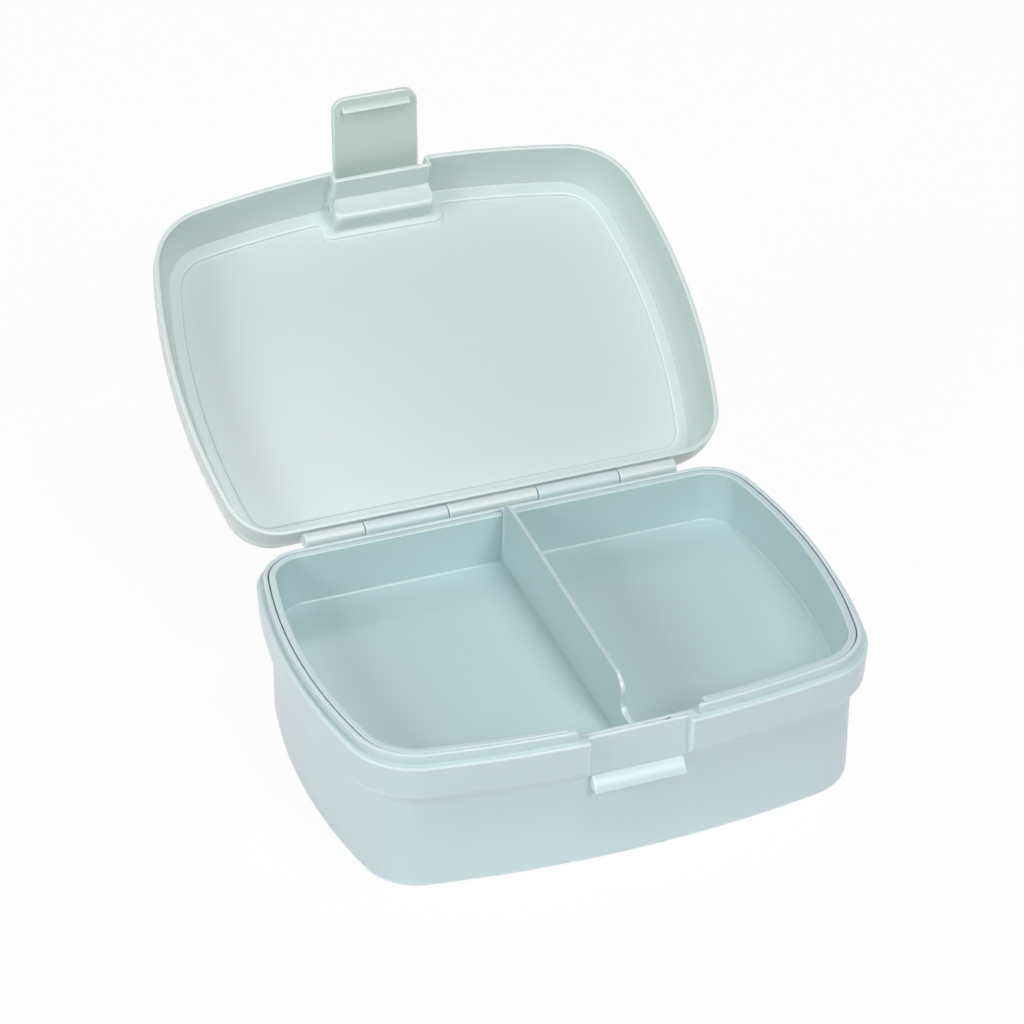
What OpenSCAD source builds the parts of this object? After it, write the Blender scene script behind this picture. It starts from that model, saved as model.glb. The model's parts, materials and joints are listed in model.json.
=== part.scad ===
// Hinged lunch box with a lift-out divided tray and a snap latch.
// Millimetres, +Z up. The origin is the centre of the base's underside.
// The box is drawn with its lid thrown open and the latch hanging half open.

/* [Body] */
// Width of the box, side to side
body_w = 175; // [160:1:200]
// Depth of the box, front to back
body_d = 122.5; // [115:0.5:150]
// Height of the base up to the shoulder that the lid closes on
base_h = 47.7; // [44:0.1:60]
// Radius of the bulging front
front_r = 376; // [250:1:600]
// Radius of the bulging sides
side_r = 197; // [150:1:300]
// How far behind the middle the sides are widest
side_crown_y = 6; // [0:0.5:10]
// Radius of the two front corners
front_corner_r = 23; // [18:0.5:28]
// Radius of the two back corners
back_corner_r = 17; // [14:0.5:22]
// Thickness of the base's walls
base_wall = 1.8; // [1.5:0.1:2.4]
// Thickness of the base's floor
base_floor = 2; // [1.6:0.1:3]

/* [Band around the base] */
// How far the band stands out from the lower walls
band_step = 4.4; // [3.6:0.1:5.2]
// Height of the band, from the middle of its curved underside to the shoulder
band_h = 13.4; // [11:0.1:16]
// Height of the curve under the band
band_curve_h = 6.5; // [4:0.1:8]
// How far the band's face leans in at its lower end
band_lean = 0.6; // [0.2:0.1:1]
// Radius round the foot of the base
foot_r = 2.4; // [1:0.1:4]

/* [Neck] */
// How far the neck is set in from the shoulder's edge
neck_inset = 2.1; // [1.9:0.1:2.6]
// Height of the neck above the shoulder
neck_h = 3.4; // [2.4:0.1:4.2]
// Thickness of the neck
neck_t = 1.4; // [1.1:0.1:1.8]

/* [Lid] */
// Height of the closed lid, from its rim to its top
lid_h = 18.5; // [17.5:0.1:24]
// Thickness of the lid's skin
lid_wall = 1.5; // [1.2:0.1:1.6]
// How far the lid's side walls lean in at the top
lid_lean = 2.4; // [1:0.1:4]
// Radius round the top edge of the lid
lid_crown_r = 3.4; // [2:0.1:5]
// Distance from the lid's edge to its raised top panel
panel_inset = 9.5; // [8:0.1:14]
// How far the top panel is raised
panel_rise = 0.8; // [0.3:0.1:1.5]
// Gap between the closed lid's rim and the shoulder
rim_gap = 0.25; // [0.15:0.05:0.5]
// How far the lid swings open, in degrees
lid_open = 148; // [100:1:155]

/* [Hinge] */
// Distance from the back wall to the hinge's axis
hinge_out = 2.9; // [2.8:0.1:4]
// Height of the hinge's axis above the shoulder
hinge_up = 1.9; // [1.4:0.1:2.2]
// Diameter of the hinge's knuckles
knuckle_d = 5; // [4.4:0.1:5.2]
// Half the width of the middle knuckle
knuckle_inner = 14.9; // [12:0.1:18]
// Distance from the middle to the outer knuckles
knuckle_outer = 42.9; // [36:0.1:50]
// Distance from the middle to the hinge's ends
hinge_half = 62.3; // [56:0.1:66]
// Gap between neighbouring knuckles
knuckle_gap = 0.5; // [0.4:0.1:1]
// Diameter of the hinge's pin
hinge_pin_d = 2.4; // [2:0.1:2.8]

/* [Latch] */
// Width of the latch's plate
latch_w = 29; // [24:0.5:34]
// Length of the latch, from its pin to its free end
latch_len = 38.2; // [36:0.1:44]
// Thickness of the latch's plate
latch_t = 2; // [1.6:0.1:2.4]
// Distance from the latch's pin to the plate's inner face
latch_offset = 1; // [0.8:0.1:2]
// Radius of the plate's two free corners
latch_corner_r = 4.5; // [2:0.1:6]
// How far the latch has swung from closed, in degrees
latch_open = 21; // [0:1:120]
// Height of the latch's hook above its plate
hook_h = 2.1; // [1.6:0.1:2.6]
// Distance of the hook's outer ends from the plate's sides
hook_end = 3; // [1:0.1:6]
// Diameter of the latch's pin
latch_pin_d = 2; // [1.6:0.1:2.4]
// Height of the latch's pin above the lid's rim
latch_pin_up = 13.4; // [11.8:0.1:14.2]
// Distance from the front to the latch's pin
latch_pin_in = 6.75; // [6:0.05:7.5]
// Gap between the latch and what is around it
latch_gap = 0.4; // [0.3:0.05:0.8]
// Gap at each side of the latch
latch_side_gap = 1.1; // [0.6:0.1:2]
// Thickness of the walls around the latch
pocket_wall = 1.4; // [1.2:0.1:1.8]
// How far the recess for the latch is sunk in the front
recess_in = 3.2; // [2.8:0.1:3.6]
// Room left behind the latch's barrel
barrel_room = 2.6; // [0.6:0.05:3]
// How far the closed hook reaches under the catch
hook_grip = 0.8; // [0.4:0.1:1.2]
// Height of the catch's sloped face
catch_h = 4.5; // [3:0.1:6]
// Gap between the closed hook and the catch
hook_gap = 0.3; // [0.2:0.05:0.5]

/* [Tray] */
// Depth of the tray, from its rim to its underside
tray_h = 18; // [12:0.1:26]
// Thickness of the tray's walls
tray_wall = 1.3; // [1.1:0.1:1.8]
// Thickness of the tray's floor
tray_floor = 1.5; // [1.2:0.1:2.4]
// Gap between the tray's rim and the neck
tray_gap = 0.35; // [0.3:0.05:0.6]
// Width of the tray's rim
tray_rim_w = 2.3; // [2:0.1:3]
// Height of the tray's rim, down to the seat that it rests on
tray_rim_h = 2.6; // [1.6:0.1:3.2]
// Width of the seat for the tray's rim
seat_w = 1; // [0.7:0.1:1.4]
// Radius inside the tray's corners at the floor
tray_fillet = 0.8; // [0.6:0.1:2]
// How far the tray's rim is below the top of the neck
tray_sink = 0.2; // [0:0.1:1]
// Offset of the divider from the middle
divider_x = 1.2; // [-30:0.1:30]
// Thickness of the divider at its top
divider_t = 1.4; // [1.2:0.1:2.4]
// How much thicker each side of the divider is at the floor
divider_draft = 1; // [0.2:0.1:1.4]
// How far the divider stands above the tray's rim, at its step
divider_rise = 3.2; // [0:0.1:4]
// How much higher the divider is at its back than at its step
divider_climb = 2.2; // [0:0.1:3]
// How far the divider steps down at the front
divider_drop = 11; // [6:0.1:13]
// Distance from the front to the divider's step
divider_step_in = 18; // [14:0.5:24]
// Radius of the divider's step, at its top
divider_r = 6; // [3:0.5:9]

/* [Hidden] */

$fn = 64;
cut = 1;                     // how far a cutting solid reaches past what it cuts
corner_steps = 10;           // facets along each rounded corner
front_steps = 12;            // facets along half of the front
side_steps = 7;              // facets along half of each side
round_steps = 4;             // facets along a small rounding
press = 0.01;                // how much smaller a pressed bore is than its pin
running = 0.05;              // how much larger a turning bore is than its pin
rim_round = 0.45;            // rounding along a rim's edges
shoulder_round = 0.7;        // rounding along the shoulder's edge
pocket_side = 2;             // space beside the pocket, where the neck is broken away
rim_back = 1.8;              // how far the ends of the tray's rim are behind the neck's ends

front_y = -body_d / 2;
back_y = body_d / 2;
rim_z = base_h + rim_gap;
lid_top = rim_z + lid_h;
neck_top = base_h + neck_h;
neck_inner = neck_inset + neck_t;
lower_inner = band_step + base_wall;
band_mid = base_h - band_h;
tray_top = neck_top - tray_sink;
tray_z = tray_top - tray_h;
seat_z = tray_top - tray_rim_h;
seat_inner = neck_inner + seat_w;
tray_rim_inset = neck_inner + tray_gap;
hinge_y = back_y + hinge_out;
hinge_z = base_h + hinge_up;
latch_pin_y = front_y + latch_pin_in;
latch_pin_z = rim_z + latch_pin_up;
recess_y = front_y + recess_in;
pocket_half = latch_w / 2 + latch_side_gap;
barrel_r = latch_offset + latch_t;
chamber_z = latch_pin_z - barrel_r - latch_gap;
chamber_y = latch_pin_y + barrel_r + barrel_room;
recess_inner = recess_y + pocket_wall;
neck_break = pocket_half + pocket_wall + pocket_side;
notch_half = neck_break + rim_back;

// The closed latch leans out until its plate just clears the foot of the pocket's wall.
pin_to_wall = latch_pin_y - recess_y;
latch_lean = acos((latch_offset - latch_gap) / norm([pin_to_wall, latch_pin_up]))
    - atan2(latch_pin_up, pin_to_wall);

// Where the wall behind the closed latch is, at a height above the rim.
function pocket_wall_y(z) =
    latch_pin_y - (latch_offset - latch_gap) / cos(latch_lean) + (z - latch_pin_z) * tan(latch_lean);

// The outline is a chain of arcs. Each point of it is [centre x, centre y, radius, direction],
// so a loop that lies further in is the same chain with smaller radii.
front_c = [0, front_y + front_r];
side_c = [body_w / 2 - side_r, side_crown_y];

function dist(a, b) = norm(b - a);
function heading(c, p) = atan2(p[1] - c[1], p[0] - c[0]);

// The corner between two larger arcs: its centre lies r inside both of them.
function corner_between(ca, ra, cb, rb, r, side) =
    let (
        a = ra - r,
        b = rb - r,
        l = dist(ca, cb),
        u = (cb - ca) / l,
        t = (a * a - b * b + l * l) / (2 * l),
        h = sqrt(a * a - t * t)
    )
    ca + u * t + side * h * [-u[1], u[0]];

front_k = corner_between(front_c, front_r, side_c, side_r, front_corner_r, 1);

// The corner between a side and the straight back.
back_k_y = back_y - back_corner_r;
back_k = [
    side_c[0] + sqrt(pow(side_r - back_corner_r, 2) - pow(back_k_y - side_c[1], 2)),
    back_k_y
];

function arc(c, r, from, to, steps) =
    [for (i = [0:steps]) [c[0], c[1], r, from + (to - from) * i / steps]];

half_outline = concat(
    arc(front_c, front_r, -90, heading(front_c, front_k), front_steps),
    arc(front_k, front_corner_r, heading(front_c, front_k), heading(side_c, front_k), corner_steps),
    arc(side_c, side_r, heading(side_c, front_k), heading(side_c, back_k), 2 * side_steps),
    arc(back_k, back_corner_r, heading(side_c, back_k), 90, corner_steps)
);

function mirrored(p) = [-p[0], p[1], p[2], 180 - p[3]];
function outline_point(p, inset) =
    [p[0] + (p[2] - inset) * cos(p[3]), p[1] + (p[2] - inset) * sin(p[3])];
function same_point(a, b) = dist(outline_point(a, 0), outline_point(b, 0)) < 0.01;

// Joins between arcs repeat a point, which is dropped.
half_clean = [
    for (i = [0:len(half_outline) - 1])
        if (i == 0 || !same_point(half_outline[i], half_outline[i - 1])) half_outline[i]
];
half_n = len(half_clean);
full_outline = concat(
    half_clean,
    [for (i = [half_n - 1:-1:1]) mirrored(half_clean[i])]
);
outline_n = len(full_outline);

function ring(inset, z) =
    [for (p = full_outline) let (q = outline_point(p, inset)) [q[0], q[1], z]];

// A quarter round from one [inset, z] point to another, bulging towards the corner point.
function rounded(a, corner, b, steps = round_steps) = [
    for (i = [0:steps])
        let (t = 90 * i / steps)
        corner + (a - corner) * (1 - sin(t)) + (b - corner) * (1 - cos(t))
];

// A closed solid through a ring at each [inset, z] of the profile, capped at both ends.
// The profile runs up the outside and back down the inside.
module ring_solid(profile) {
    rings = len(profile);
    points = [for (p = profile) each ring(p[0], p[1])];
    sides = [
        for (k = [0:rings - 2], i = [0:outline_n - 1])
            let (
                j = (i + 1) % outline_n,
                a = k * outline_n + i,
                b = k * outline_n + j
            )
            each [[a, a + outline_n, b + outline_n], [a, b + outline_n, b]]
    ];
    first_cap = [[for (i = [0:outline_n - 1]) i]];
    last_cap = [[for (i = [outline_n - 1:-1:0]) (rings - 1) * outline_n + i]];
    polyhedron(points, concat(sides, first_cap, last_cap));
}

// A prism along X, centred, with its outline given as [y, z].
module prism_x(points, width) {
    rotate([90, 0, 90])
        translate([0, 0, -width / 2])
            linear_extrude(width)
                polygon(points);
}

module rod_x(d, width) {
    rotate([0, 90, 0])
        cylinder(d = d, h = width, center = true);
}

// Carries what belongs to the closed lid to where the open lid is.
module opened() {
    translate([0, hinge_y, hinge_z])
        rotate([-lid_open, 0, 0])
            translate([0, -hinge_y, -hinge_z])
                children();
}

// ---- base ----

// How far the outer wall is set in, at a height within the curve under the band.
function band_inset(t) = band_lean + (band_step - band_lean) * (1 + cos(180 * t)) / 2;

base_profile = concat(
    rounded([band_step + foot_r, 0], [band_step, 0], [band_step, foot_r]),
    [for (i = [0:6]) [band_inset(i / 6), band_mid + band_curve_h * (i / 6 - 0.5)]],
    rounded([0, base_h - shoulder_round], [0, base_h], [shoulder_round, base_h], 2),
    [[neck_inset, base_h]],
    rounded(
        [neck_inset, neck_top - rim_round],
        [neck_inset, neck_top],
        [neck_inset + rim_round, neck_top],
        2
    ),
    rounded(
        [neck_inner - rim_round, neck_top],
        [neck_inner, neck_top],
        [neck_inner, neck_top - rim_round],
        2
    ),
    [
        [neck_inner, seat_z],
        [seat_inner, seat_z],
        [seat_inner + band_lean, band_mid + band_curve_h / 2],
        [lower_inner, band_mid - band_curve_h / 2]
    ],
    rounded(
        [lower_inner, base_floor + foot_r],
        [lower_inner, base_floor],
        [lower_inner + foot_r, base_floor],
        3
    )
);

// The recess ends where the band has curved in as far as the recess is deep.
recess_share = acos(2 * (recess_in - band_lean) / (band_step - band_lean) - 1) / 180;
recess_z = band_mid + band_curve_h * (recess_share - 0.5);
catch_z = recess_z - catch_h;
catch_lip = 0.6;             // thickness of the catch's outer edge

// Where along the latch its hook is, so that it closes just under the catch.
hook_s = (latch_pin_z + latch_offset * sin(latch_lean) - catch_z + hook_gap) / cos(latch_lean);
hook_tip_y = latch_pin_y - (latch_offset - hook_h) * cos(latch_lean) - hook_s * sin(latch_lean);
catch_y = hook_tip_y - hook_grip;

module catch() {
    back = front_y + band_step + base_wall / 2;
    prism_x(
        [
            [back, recess_z],
            [recess_y, recess_z],
            [catch_y, catch_z + catch_lip],
            [catch_y, catch_z],
            [back, catch_z]
        ],
        latch_w
    );
}

// The wall behind the recess, where the recess is sunk deeper than the band is thick.
module recess_wall() {
    prism_x(
        [
            [recess_y, recess_z],
            [recess_y, base_h],
            [recess_inner, base_h],
            [recess_inner, band_mid - band_curve_h / 2 + 0.5]
        ],
        2 * (pocket_half + pocket_wall)
    );
}

module base_knuckle(centre, width) {
    r = knuckle_d / 2;
    root = back_y - base_wall / 2;
    web_top = base_h - 0.4;      // just under the shoulder, clear of the lid's rim
    web_foot = hinge_z - 3 * r;  // where the web's sloped underside meets the wall
    translate([centre, 0, 0]) {
        translate([0, hinge_y, hinge_z])
            rod_x(knuckle_d, width);
        prism_x(
            [
                [root, web_top],
                [hinge_y - r, web_top],
                [hinge_y - r, hinge_z],
                [hinge_y + r, hinge_z],
                [hinge_y + r, (hinge_z + web_foot) / 2],
                [back_y, web_foot],
                [root, web_foot]
            ],
            width
        );
    }
}

base_knuckle_w = knuckle_outer - knuckle_inner - knuckle_gap;
base_knuckle_x = (knuckle_outer + knuckle_inner) / 2;

module base_shell() {
    color("#BDD0D6")
    difference() {
        union() {
            difference() {
                ring_solid(base_profile);
                // the latch's recess, and the break in the neck above it
                translate([-pocket_half, front_y - cut, recess_z])
                    cube([2 * pocket_half, recess_in + cut, base_h]);
                translate([-neck_break, front_y - cut, base_h])
                    cube([2 * neck_break, neck_inner + band_step + cut, base_h]);
            }
            recess_wall();
            catch();
            for (side = [-1, 1])
                base_knuckle(side * base_knuckle_x, base_knuckle_w);
        }
        translate([0, hinge_y, hinge_z])
            rod_x(hinge_pin_d - 2 * press, 2 * hinge_half);
    }
}

// ---- lid ----

lid_bend_z = rim_z + 3.5;
lid_crown_z = lid_top - panel_rise - lid_crown_r;

function lid_inset(t) = lid_lean * t * t;

lid_panel_in = panel_inset + panel_rise;
lid_rise = lid_crown_z - lid_bend_z;

// From the middle of the ceiling down the inside to the rim, then up the outside to the top.
lid_profile = concat(
    [
        [lid_panel_in + lid_wall / 3, lid_top - lid_wall],
        [panel_inset + lid_wall / 3, lid_top - panel_rise - lid_wall]
    ],
    rounded(
        [lid_lean + lid_crown_r, lid_crown_z + lid_crown_r - lid_wall],
        [lid_lean + lid_wall, lid_crown_z + lid_crown_r - lid_wall],
        [lid_lean + lid_wall, lid_crown_z]
    ),
    [for (i = [4:-1:0]) [lid_wall + lid_inset(i / 5), lid_bend_z + lid_rise * i / 5]],
    rounded([lid_wall, rim_z + rim_round], [lid_wall, rim_z], [lid_wall - rim_round, rim_z], 2),
    rounded([rim_round, rim_z], [0, rim_z], [0, rim_z + rim_round], 2),
    [for (i = [0:4]) [lid_inset(i / 5), lid_bend_z + lid_rise * i / 5]],
    rounded(
        [lid_lean, lid_crown_z],
        [lid_lean, lid_crown_z + lid_crown_r],
        [lid_lean + lid_crown_r, lid_crown_z + lid_crown_r]
    ),
    [
        [panel_inset, lid_top - panel_rise],
        [lid_panel_in, lid_top]
    ]
);

// The walls that box in the latch, from inside the lid's skin.
module pocket_block() {
    skin = 0.4 * lid_wall;       // how deep in the lid's skin the block begins
    soft = 2;                    // rounding along the block's inner edge
    inner = chamber_y + pocket_wall;
    low = chamber_z - pocket_wall;
    high = lid_top - 0.85 * lid_wall;
    prism_x(
        concat(
            [
                [recess_inner, rim_z],
                [front_y + skin, rim_z],
                [front_y + skin, lid_bend_z],
                [front_y + lid_lean + skin, lid_crown_z],
                [front_y + lid_lean + lid_crown_r, high],
                [inner, high]
            ],
            rounded([inner, low + soft], [inner, low], [inner - soft, low]),
            [[pocket_wall_y(low) + pocket_wall, low]]
        ),
        2 * (pocket_half + pocket_wall)
    );
}

// The room that the latch turns in, open to the front and the top.
module pocket_room() {
    prism_x(
        [
            [front_y - cut, rim_z - cut],
            [pocket_wall_y(rim_z - cut), rim_z - cut],
            [pocket_wall_y(chamber_z), chamber_z],
            [chamber_y, chamber_z],
            [chamber_y, lid_top + cut],
            [front_y - cut, lid_top + cut]
        ],
        2 * pocket_half
    );
}

module lid_knuckle(centre, width) {
    r = knuckle_d / 2;
    root = back_y - lid_wall / 2;
    web_top = hinge_z + 2.4 * r; // where the web's sloped top meets the lid's back
    translate([centre, 0, 0]) {
        translate([0, hinge_y, hinge_z])
            rod_x(knuckle_d, width);
        prism_x(
            [
                [root, hinge_z],
                [hinge_y + r, hinge_z],
                [hinge_y + 0.7 * r, hinge_z + 0.9 * r],
                [root, web_top]
            ],
            width
        );
    }
}

end_knuckle_w = hinge_half - knuckle_outer;
end_knuckle_x = (hinge_half + knuckle_outer) / 2;

module lid_shell() {
    color("#D2DFDD")
    opened()
    difference() {
        union() {
            ring_solid(lid_profile);
            pocket_block();
            lid_knuckle(0, 2 * knuckle_inner);
            for (side = [-1, 1])
                lid_knuckle(side * end_knuckle_x, end_knuckle_w);
        }
        pocket_room();
        translate([0, latch_pin_y, latch_pin_z])
            rod_x(latch_pin_d - 2 * press, 2 * (pocket_half + pocket_wall) + cut);
        translate([0, hinge_y, hinge_z])
            rod_x(hinge_pin_d + 2 * running, 2 * hinge_half + cut);
    }
}

// ---- latch ----

// The latch as it would hang straight down from its pin, at the origin.
module hanging_latch() {
    outer = -latch_offset - latch_t;
    slope_end = -hook_s - 0.9 * hook_h;
    difference() {
        union() {
            rod_x(2 * barrel_r, latch_w);
            translate([0, -latch_offset, 0])
                rotate([90, 0, 0])
                    linear_extrude(latch_t)
                        plate_outline();
            prism_x(
                [
                    [outer + latch_t / 2, -hook_s],
                    [hook_h - latch_offset, -hook_s],
                    [hook_h - latch_offset, -hook_s - 0.6],
                    [-latch_offset, slope_end],
                    [outer + latch_t / 2, slope_end]
                ],
                latch_w - 2 * hook_end
            );
        }
        rod_x(latch_pin_d + 2 * running, latch_w + cut);
    }
}

module plate_outline() {
    half = latch_w / 2 - latch_corner_r;
    foot = latch_corner_r - latch_len;
    translate([-latch_w / 2, foot])
        square([latch_w, -foot]);
    translate([-half, -latch_len])
        square([2 * half, latch_corner_r]);
    for (side = [-1, 1])
        translate([side * half, foot])
            circle(latch_corner_r);
}

module latch() {
    color("#C3D5D2")
    opened()
        translate([0, latch_pin_y, latch_pin_z])
            rotate([-latch_lean - latch_open, 0, 0])
                hanging_latch();
}

// ---- tray ----

tray_skin = seat_inner + tray_gap;
tray_foot = lower_inner + tray_gap;
tray_foot_r = 1;             // rounding under the tray's edge
notch_drop = 0.1;            // how far below the shoulder the tray's lowered front is
tray_bottom = tray_z + tray_floor;

tray_profile = concat(
    rounded(
        [tray_foot + tray_foot_r, tray_z],
        [tray_foot, tray_z],
        [tray_foot, tray_z + tray_foot_r],
        2
    ),
    [
        [tray_skin, seat_z],
        [tray_rim_inset, seat_z]
    ],
    rounded(
        [tray_rim_inset, tray_top - rim_round],
        [tray_rim_inset, tray_top],
        [tray_rim_inset + rim_round, tray_top],
        2
    ),
    rounded(
        [tray_rim_inset + tray_rim_w - rim_round, tray_top],
        [tray_rim_inset + tray_rim_w, tray_top],
        [tray_rim_inset + tray_rim_w, tray_top - rim_round],
        2
    ),
    rounded(
        [tray_foot + tray_wall, tray_bottom + tray_fillet],
        [tray_foot + tray_wall, tray_bottom],
        [tray_foot + tray_wall + tray_fillet, tray_bottom],
        3
    )
);

divider_top = tray_top + divider_rise;
divider_low = divider_top - divider_drop;
divider_foot = tray_bottom - tray_floor / 2;

// How far in the middle of the tray's wall is, at a height.
foot_middle = tray_foot + tray_wall / 2;
rim_middle = tray_rim_inset + tray_rim_w - tray_wall / 2;
function wall_middle(z) =
    foot_middle + (rim_middle - foot_middle) * (z - divider_foot) / (tray_top - divider_foot);

// The divider's ends lean with the tray's walls. Its back end curves down into the rim.
divider_front = front_y + wall_middle(divider_low);
divider_back = back_y - wall_middle(tray_top);
divider_peak = divider_top + divider_climb;
function divider_foot_y(y) = foot_middle + front_y
    + (y - divider_front) * (body_d - 2 * foot_middle) / (divider_back - divider_front);
step_y = front_y + divider_step_in;
toe_r = 2.5;                 // rounding at the foot of the divider's step
step_r = min(divider_r, divider_drop - toe_r);

step_gap = 0.01;             // keeps the two roundings of the step apart
hump_r = divider_peak - tray_top + 0.1; // rounding of the back end, which ends within the rim

// The divider's top edge, from front to back, as [y, z].
divider_edge = concat(
    [[divider_front, divider_low]],
    rounded(
        [step_y - toe_r, divider_low],
        [step_y, divider_low],
        [step_y, divider_low + toe_r]
    ),
    rounded(
        [step_y + step_gap, divider_top - step_r],
        [step_y + step_gap, divider_top],
        [step_y + step_r, divider_top],
        6
    ),
    rounded(
        [divider_back - hump_r, divider_peak],
        [divider_back, divider_peak],
        [divider_back, divider_peak - hump_r],
        6
    )
);

// A wall along Y whose sides widen towards the floor.
module divider() {
    n = len(divider_edge);
    low = divider_foot;
    function half_t(z) = divider_t / 2 + divider_draft * (divider_top - z) / (divider_top - low);
    points = [
        for (p = divider_edge)
            each [
                [-half_t(p[1]), p[0], p[1]],
                [half_t(p[1]), p[0], p[1]],
                [half_t(low), divider_foot_y(p[0]), low],
                [-half_t(low), divider_foot_y(p[0]), low]
            ]
    ];
    walls = [
        for (k = [0:n - 2], i = [0:3])
            let (j = (i + 1) % 4, a = 4 * k)
            each [[a + i, a + 4 + i, a + 4 + j], [a + i, a + 4 + j, a + j]]
    ];
    polyhedron(points, concat(walls, [[0, 1, 2, 3]], [[for (i = [3:-1:0]) 4 * (n - 1) + i]]));
}

module tray_insert() {
    color("#AAC4C8")
    union() {
        difference() {
            ring_solid(tray_profile);
            // room for the wall behind the recess, and the lowered front over it
            translate([-notch_half, front_y - cut, 0])
                cube([2 * notch_half, recess_in + pocket_wall + tray_gap + cut, tray_top + cut]);
            translate([-notch_half, front_y - cut, base_h - notch_drop])
                cube([2 * notch_half, band_step + lower_inner + cut, tray_h]);
        }
        translate([divider_x, 0, 0])
            divider();
    }
}

// ---- pins ----

pin_short = 0.4;             // how far a pin's ends are sunk in

module hinge_pin() {
    color("silver")
    translate([0, hinge_y, hinge_z])
        rod_x(hinge_pin_d, 2 * (hinge_half - pin_short));
}

module latch_pin() {
    color("silver")
    opened()
        translate([0, latch_pin_y, latch_pin_z])
            rod_x(latch_pin_d, 2 * (pocket_half + pocket_wall) - pin_short);
}

base_shell();
lid_shell();
tray_insert();
latch();
hinge_pin();
latch_pin();
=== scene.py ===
# %% [markdown]
# # A child's lunch box
#
# The box is four mouldings in polypropylene and two steel pins. A deep base carries a neck that
# the lid closes over, a shallow tray with one divider sits in the neck, and a flat latch turns
# on a pin in the front of the lid. The lid is thrown back on its hinge.
#
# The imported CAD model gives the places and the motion. Its solids are right in size but made
# of coarse facets, so each moulding is modelled again here as a finer mesh with the small
# roundings that a mould leaves, and the CAD solid behind it is hidden.

# %% Load the frame
import json
import math

import bmesh
import bpy
from mathutils import Matrix, Vector

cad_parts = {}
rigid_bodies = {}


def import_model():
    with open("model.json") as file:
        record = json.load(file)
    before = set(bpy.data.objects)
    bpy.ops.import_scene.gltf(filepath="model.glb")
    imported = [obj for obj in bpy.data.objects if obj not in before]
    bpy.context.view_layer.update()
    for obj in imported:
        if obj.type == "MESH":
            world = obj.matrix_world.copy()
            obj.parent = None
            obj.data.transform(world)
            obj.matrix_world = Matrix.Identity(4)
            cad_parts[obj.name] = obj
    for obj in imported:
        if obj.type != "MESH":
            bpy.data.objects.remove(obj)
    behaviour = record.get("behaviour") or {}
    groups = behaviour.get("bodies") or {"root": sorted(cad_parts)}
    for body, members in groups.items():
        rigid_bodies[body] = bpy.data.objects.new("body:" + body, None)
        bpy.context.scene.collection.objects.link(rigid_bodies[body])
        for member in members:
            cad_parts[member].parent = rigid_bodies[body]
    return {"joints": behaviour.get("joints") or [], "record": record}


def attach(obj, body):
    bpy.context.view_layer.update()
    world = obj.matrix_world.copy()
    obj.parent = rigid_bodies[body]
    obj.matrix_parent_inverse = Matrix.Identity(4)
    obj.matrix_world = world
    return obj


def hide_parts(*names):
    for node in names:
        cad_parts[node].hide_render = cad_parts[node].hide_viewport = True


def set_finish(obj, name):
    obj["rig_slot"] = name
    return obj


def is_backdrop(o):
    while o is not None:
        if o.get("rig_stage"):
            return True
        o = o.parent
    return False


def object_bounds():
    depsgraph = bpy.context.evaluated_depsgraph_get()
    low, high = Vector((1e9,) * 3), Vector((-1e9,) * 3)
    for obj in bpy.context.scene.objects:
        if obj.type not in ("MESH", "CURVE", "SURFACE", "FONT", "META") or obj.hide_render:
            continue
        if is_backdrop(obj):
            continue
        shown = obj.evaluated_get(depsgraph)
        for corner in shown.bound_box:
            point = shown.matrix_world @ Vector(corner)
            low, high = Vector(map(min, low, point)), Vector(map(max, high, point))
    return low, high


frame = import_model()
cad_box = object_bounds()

joints = {joint["name"]: joint for joint in frame["joints"]}

# %% [markdown]
# ## The camera
#
# A long lens from well back keeps the box's edges nearly parallel, as a catalogue picture
# does. The camera is placed by where it looks, how far away it is and from which side, since
# those are easier to think about than three rotation angles.

# %% Place the camera
MM = 0.001

look_at = Vector((8.16, 67.49, 42.27)) * MM
camera_away = 1271.5 * MM
camera_azimuth = math.radians(-21.08)
camera_elevation = math.radians(33.88)
camera_roll = math.radians(0.47)

camera_data = bpy.data.cameras.new("camera")
camera_data.lens = 140.75
camera_data.sensor_width = 36
camera_data.clip_start = 0.05
camera = bpy.data.objects.new("camera", camera_data)
bpy.context.scene.collection.objects.link(camera)
bpy.context.scene.camera = camera

# A camera looks along its own -Z, so its +Z points back from what it looks at.
upright = Matrix.Rotation(math.radians(90) - camera_elevation, 4, "X")
turned = Matrix.Rotation(camera_azimuth, 4, "Z") @ upright @ Matrix.Rotation(camera_roll, 4, "Z")
stands_at = look_at + turned.to_3x3() @ Vector((0, 0, camera_away))
camera.matrix_world = Matrix.Translation(stands_at) @ turned
print("camera at", [round(value / MM, 1) for value in camera.matrix_world.translation], "mm")

# %% [markdown]
# ## Sizes
#
# Everything is modelled in millimetres, with the lid closed, because that is how the pieces
# fit each other. Each finished piece is then carried to where it is at rest and scaled to
# metres. The hinge and the latch's pin come from the frame.

# %% Sizes of the box, in millimetres
body_w = 175.0
body_d = 122.5
front_y = -body_d / 2
back_y = body_d / 2
base_h = 47.7

hinge_at = Vector(joints["lid_hinge"]["pos_m"]) / MM
lid_open = math.radians(joints["lid_hinge"]["range_deg"][1])
latch_open = math.radians(-joints["latch_hinge"]["range_deg"][0])

open_lid = (
    Matrix.Translation(hinge_at)
    @ Matrix.Rotation(-lid_open, 4, "X")
    @ Matrix.Translation(-hinge_at)
)
latch_pin_at = open_lid.inverted() @ (Vector(joints["latch_hinge"]["pos_m"]) / MM)
print("hinge at", hinge_at, "latch pin at", latch_pin_at, "with the lid closed")

# %% [markdown]
# ## The outline
#
# Seen from above, every shell has the same outline: a bulging front, two bulging sides and a
# straight back, joined by round corners. A curve object could draw it, but spinning one vertex
# about each arc's centre gives true arcs, and a loop of vertices that can be extruded.
# Half of it is drawn, and a mirror makes the rest.

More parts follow.
